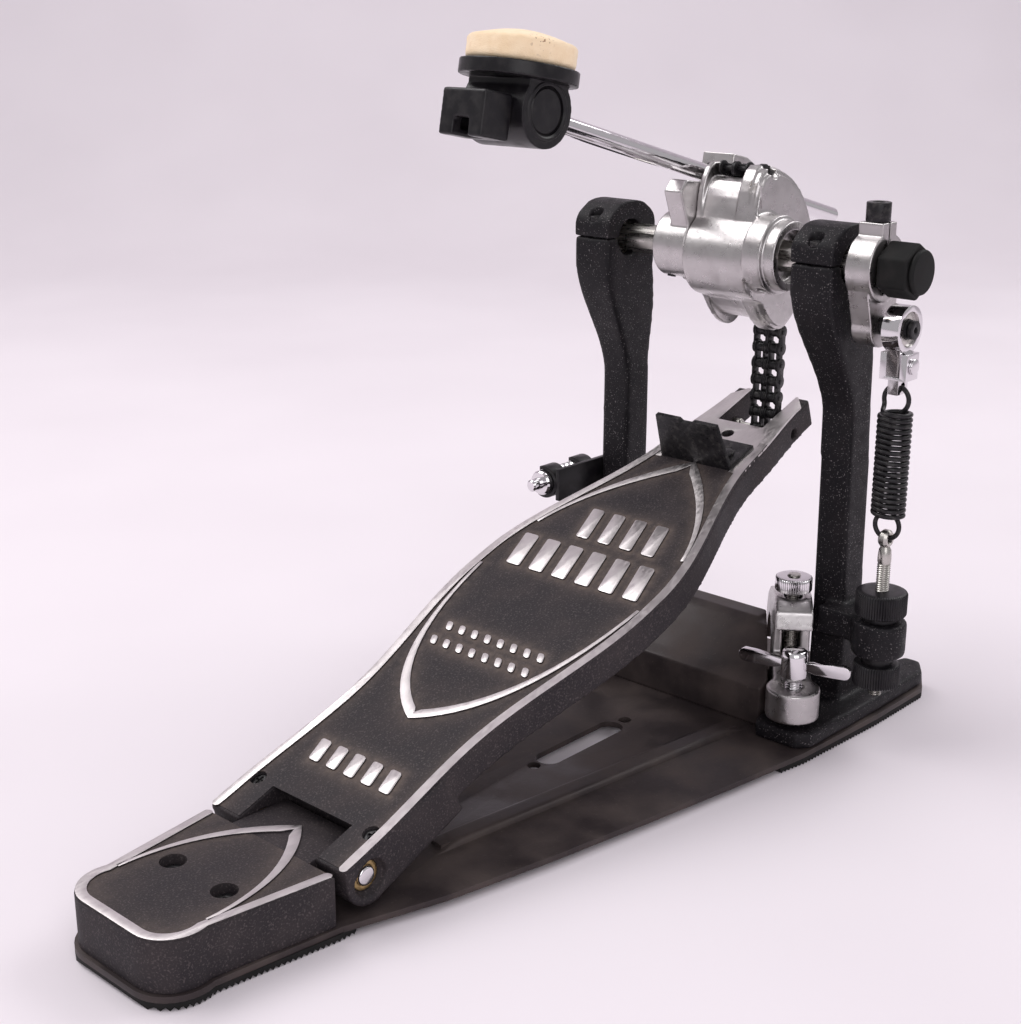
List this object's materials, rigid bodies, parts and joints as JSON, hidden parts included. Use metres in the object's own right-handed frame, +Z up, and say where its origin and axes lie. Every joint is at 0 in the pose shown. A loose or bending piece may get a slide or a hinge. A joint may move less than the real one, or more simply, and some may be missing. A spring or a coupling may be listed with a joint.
{
  "type": "bass drum pedal",
  "caption": "Single bass drum pedal: hinged cast footboard, duplex chain and cam on a hexagonal shaft, swinging felt beater, side return spring and hoop clamp on a steel base plate.",
  "frame": {"origin": "on the floor, in the footboard's middle plane, straight below the drive shaft's axis", "axes": "+X towards the drum, +Y to the player's left, +Z up"},
  "size_m": [0.4656, 0.1944, 0.3126],
  "materials": {
    "black_casting": "fine-textured black powder coat",
    "board_casting": "textured black, bright raised rims",
    "stained_steel": "dull brown-black painted steel",
    "rubber": "matt black",
    "black_steel": "black oxide",
    "polished_aluminium": "polished casting",
    "bright_chrome": "mirror",
    "plain_steel": "brushed",
    "bronze": "plain",
    "black_plastic": "satin moulded",
    "felt": "pressed tan felt"
  },
  "bodies": {
    "frame": {"base_plate": "stained_steel", "rubber_feet": "rubber", "heel_block": "board_casting", "heel_screws": "black_steel", "hinge_pin": "bright_chrome", "left_post": "black_casting", "right_post": "black_casting", "left_cap": "black_casting", "right_cap": "black_casting", "cap_screws": "black_steel", "bearing_outer_rings": "plain_steel", "bearing_balls": "plain_steel", "eye_bolt": "plain_steel", "cross_bridge": "stained_steel", "clamp_stud": "plain_steel", "key_clip": "black_plastic"},
    "footboard": {"footboard": "board_casting", "footboard_fasteners": "black_steel", "hinge_bushes": "bronze", "toe_stop": "black_steel", "toe_bolt": "plain_steel"},
    "chain_strand": {"chain_strand_outer": "black_steel", "chain_strand_inner": "black_steel"},
    "drive": {"drive_shaft": "plain_steel", "bearing_inner_rings": "plain_steel", "chain_cam": "polished_aluminium", "hub_screws": "black_steel", "beater_holder": "polished_aluminium", "rod_insert": "black_plastic", "rod_key_bolt": "plain_steel", "chain_tail": "black_steel", "rocker_arm": "polished_aluminium", "rocker_screw": "black_steel", "shaft_end_cap": "rubber", "link_screw": "black_steel"},
    "beater_rod": {"beater_rod": "bright_chrome", "swivel_barrel": "black_plastic"},
    "beater_head": {"beater_body": "black_plastic", "beater_pad": "felt", "head_weight": "black_plastic"},
    "spring_link": {"link_ring": "bright_chrome", "link_bearing": "plain_steel", "spring_hook": "bright_chrome", "hook_screw": "bright_chrome"},
    "spring": {"return_spring": "black_steel"},
    "spring_top": {"spring_top_loop": "black_steel"},
    "tension_knob": {"tension_knob": "black_plastic"},
    "lock_nut": {"lock_nut": "black_plastic"},
    "clamp_arm": {"clamp_arm": "polished_aluminium"},
    "wing_bolt": {"wing_bolt": "bright_chrome"},
    "clamp_nut": {"clamp_nut": "bright_chrome"},
    "drum_key": {"drum_key": "bright_chrome"},
    "chain_link_12": {"chain_link_12": "black_steel"},
    "chain_link_13": {"chain_link_13": "black_steel"},
    "chain_link_14": {"chain_link_14": "black_steel"},
    "chain_link_15": {"chain_link_15": "black_steel"},
    "chain_link_16": {"chain_link_16": "black_steel"},
    "chain_link_17": {"chain_link_17": "black_steel"}
  },
  "joints": [
    {"name": "beater_swing", "type": "hinge", "parent": "frame", "child": "drive", "pos_m": [0, 0, 0.216], "axis": [0, 1, 0], "range_deg": [0, 72.53], "stiffness_Nm_per_rad": 0.9, "springref_deg": -20.05, "deforming": ["return_spring", "spring_top_loop", "chain_link_12", "chain_link_13", "chain_link_14", "chain_link_15", "chain_link_16", "chain_link_17"]},
    {"name": "footboard_press", "type": "hinge", "parent": "frame", "child": "footboard", "pos_m": [-0.254, 0, 0.019], "axis": [0, 1, 0], "range_deg": [0, 9.12]},
    {"name": "chain_toe", "type": "hinge", "parent": "footboard", "child": "chain_strand", "pos_m": [0.0397, -0.004, 0.12453], "axis": [0, 1, 0], "range_deg": [-16.94, 0]},
    {"name": "chain_link_12_bend", "type": "hinge", "parent": "chain_strand", "child": "chain_link_12", "pos_m": [0.04094, -0.004, 0.21252], "axis": [0, 1, 0], "range_deg": [0, 6.06]},
    {"name": "chain_link_13_bend", "type": "hinge", "parent": "chain_link_12", "child": "chain_link_13", "pos_m": [0.04021, -0.004, 0.22049], "axis": [0, 1, 0], "range_deg": [0, 12.11]},
    {"name": "chain_link_14_bend", "type": "hinge", "parent": "chain_link_13", "child": "chain_link_14", "pos_m": [0.03783, -0.004, 0.22813], "axis": [0, 1, 0], "range_deg": [0, 12.11]},
    {"name": "chain_link_15_bend", "type": "hinge", "parent": "chain_link_14", "child": "chain_link_15", "pos_m": [0.0339, -0.004, 0.23509], "axis": [0, 1, 0], "range_deg": [0, 12.11]},
    {"name": "chain_link_16_bend", "type": "hinge", "parent": "chain_link_15", "child": "chain_link_16", "pos_m": [0.0286, -0.004, 0.24109], "axis": [0, 1, 0], "range_deg": [0, 12.11]},
    {"name": "chain_link_17_bend", "type": "hinge", "parent": "chain_link_16", "child": "chain_link_17", "pos_m": [0.02216, -0.004, 0.24584], "axis": [0, 1, 0], "range_deg": [0, 12.11]},
    {"name": "link_swivel", "type": "hinge", "parent": "drive", "child": "spring_link", "pos_m": [0.003, -0.094, 0.19118], "axis": [0, 1, 0], "range_deg": [-86.01, 0]},
    {"name": "spring_lean", "type": "hinge", "parent": "frame", "child": "spring", "pos_m": [0.003, -0.094, 0.098], "axis": [0, 1, 0], "range_deg": [-13.48, 0]},
    {"name": "spring_stretch", "type": "slide", "parent": "spring", "child": "spring_top", "axis": [0, 0, 1], "range_m": [0, 0.01764]},
    {"name": "rod_height", "type": "slide", "parent": "drive", "child": "beater_rod", "axis": [-0.9659, 0, 0.2588], "range_m": [-0.012, 0.02]},
    {"name": "head_swivel", "type": "hinge", "parent": "beater_rod", "child": "beater_head", "pos_m": [-0.11703, 0.016, 0.28152], "axis": [0, 1, 0], "range_deg": [-12, 12]},
    {"name": "knob_turn", "type": "hinge", "parent": "frame", "child": "tension_knob", "pos_m": [0.003, -0.094, 0.068], "axis": [0, 0, 1], "continuous": true},
    {"name": "lock_nut_turn", "type": "hinge", "parent": "frame", "child": "lock_nut", "pos_m": [0.003, -0.094, 0.035], "axis": [0, 0, 1], "continuous": true},
    {"name": "clamp_rock", "type": "hinge", "parent": "frame", "child": "clamp_arm", "pos_m": [0.00051, -0.05001, 0.056], "axis": [-0.5878, 0.809, 0], "range_deg": [-2, 5]},
    {"name": "wing_bolt_turn", "type": "hinge", "parent": "clamp_arm", "child": "wing_bolt", "pos_m": [-0.027, -0.07, 0.03], "axis": [0, 0, 1], "continuous": true},
    {"name": "clamp_nut_turn", "type": "hinge", "parent": "frame", "child": "clamp_nut", "pos_m": [0.00051, -0.05001, 0.066], "axis": [0, 0, 1], "continuous": true},
    {"name": "key_slide", "type": "slide", "parent": "frame", "child": "drum_key", "axis": [-1, 0, 0], "range_m": [0, 0.045]}
  ],
  "couplings": [
    {"joint": "footboard_press", "follows": "beater_swing", "ratio": 0.1254},
    {"joint": "chain_toe", "follows": "beater_swing", "ratio": -0.23329},
    {"joint": "chain_link_12_bend", "follows": "beater_swing", "ratio": 0.083333},
    {"joint": "chain_link_13_bend", "follows": "beater_swing", "ratio": 0.16667},
    {"joint": "chain_link_14_bend", "follows": "beater_swing", "ratio": 0.16667},
    {"joint": "chain_link_15_bend", "follows": "beater_swing", "ratio": 0.16667},
    {"joint": "chain_link_16_bend", "follows": "beater_swing", "ratio": 0.16667},
    {"joint": "chain_link_17_bend", "follows": "beater_swing", "ratio": 0.16667},
    {"joint": "link_swivel", "follows": "beater_swing", "ratio": -1.1856},
    {"joint": "spring_lean", "follows": "beater_swing", "ratio": -0.18562},
    {"joint": "spring_stretch", "follows": "beater_swing", "m_per_rad": 0.013859}
  ]
}
